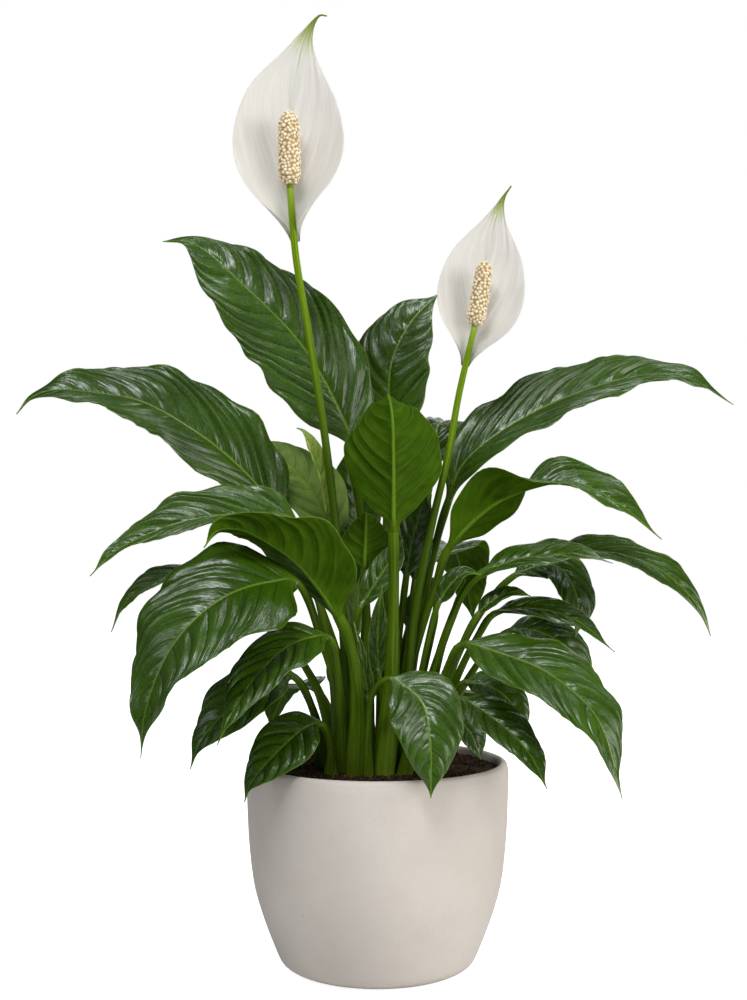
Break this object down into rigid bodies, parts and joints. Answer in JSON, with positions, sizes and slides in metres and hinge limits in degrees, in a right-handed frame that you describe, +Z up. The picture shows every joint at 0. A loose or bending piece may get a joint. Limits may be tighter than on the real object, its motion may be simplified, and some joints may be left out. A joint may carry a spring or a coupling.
{
  "type": "potted peace lily",
  "caption": "Peace lily with long-stalked pointed glossy leaves and white spathes, growing in soil in a round stoneware pot.",
  "frame": {"origin": "centre of the pot's flat bottom, where it rests", "axes": "+Z up through the pot's axis, -Y towards the front of the plant, +X to its right as seen from the front"},
  "size_m": [0.5546, 0.3806, 0.7371],
  "materials": {
    "pot": "matte",
    "soil": "matte",
    "leaf": "satin",
    "young_leaf": "satin",
    "scape": "satin",
    "spathe": "matte",
    "spadix": "matte"
  },
  "bodies": {
    "root": {"pot": "pot", "soil": "soil", "leaf_left_long": "leaf", "leaf_left_tall": "leaf", "leaf_left_mid": "leaf", "leaf_left_back_low": "leaf", "leaf_left_front_large": "leaf", "leaf_left_front_mid": "leaf", "leaf_left_low": "leaf", "leaf_left_rim": "leaf", "leaf_left_cup": "leaf", "leaf_left_back_mid": "leaf", "leaf_centre_cup": "leaf", "leaf_centre_back": "leaf", "leaf_centre_low_cup": "leaf", "leaf_centre_slant": "leaf", "leaf_back_left_upright": "leaf", "leaf_back_right_small": "leaf", "leaf_right_long": "leaf", "leaf_right_mid": "leaf", "leaf_right_bridge": "leaf", "leaf_right_reach": "leaf", "leaf_right_hook": "leaf", "leaf_right_low_reach": "leaf", "leaf_right_low_back": "leaf", "leaf_right_front_large": "leaf", "leaf_right_low_mid": "leaf", "leaf_right_low_front": "leaf", "leaf_right_rim": "leaf", "leaf_front_rim": "leaf", "leaf_back_long": "leaf", "leaf_back_left_long": "leaf", "leaf_back_right_long": "leaf", "leaf_back_low": "leaf", "leaf_back_low_left": "leaf", "leaf_back_low_right": "leaf", "leaf_back_inner": "leaf", "leaf_centre_right_inner": "leaf", "leaf_right_inner_small": "leaf", "leaf_inner_pointed": "leaf", "leaf_inner_narrow": "leaf", "leaf_inner_pale": "leaf", "leaf_right_inner_tall": "leaf", "leaf_right_inner_low": "leaf", "leaf_right_inner_front": "leaf", "leaf_furled_young": "young_leaf", "scape_tall": "scape", "spathe_tall": "spathe", "spadix_tall": "spadix", "scape_short": "scape", "spathe_short": "spathe", "spadix_short": "spadix"}
  },
  "joints": []
}
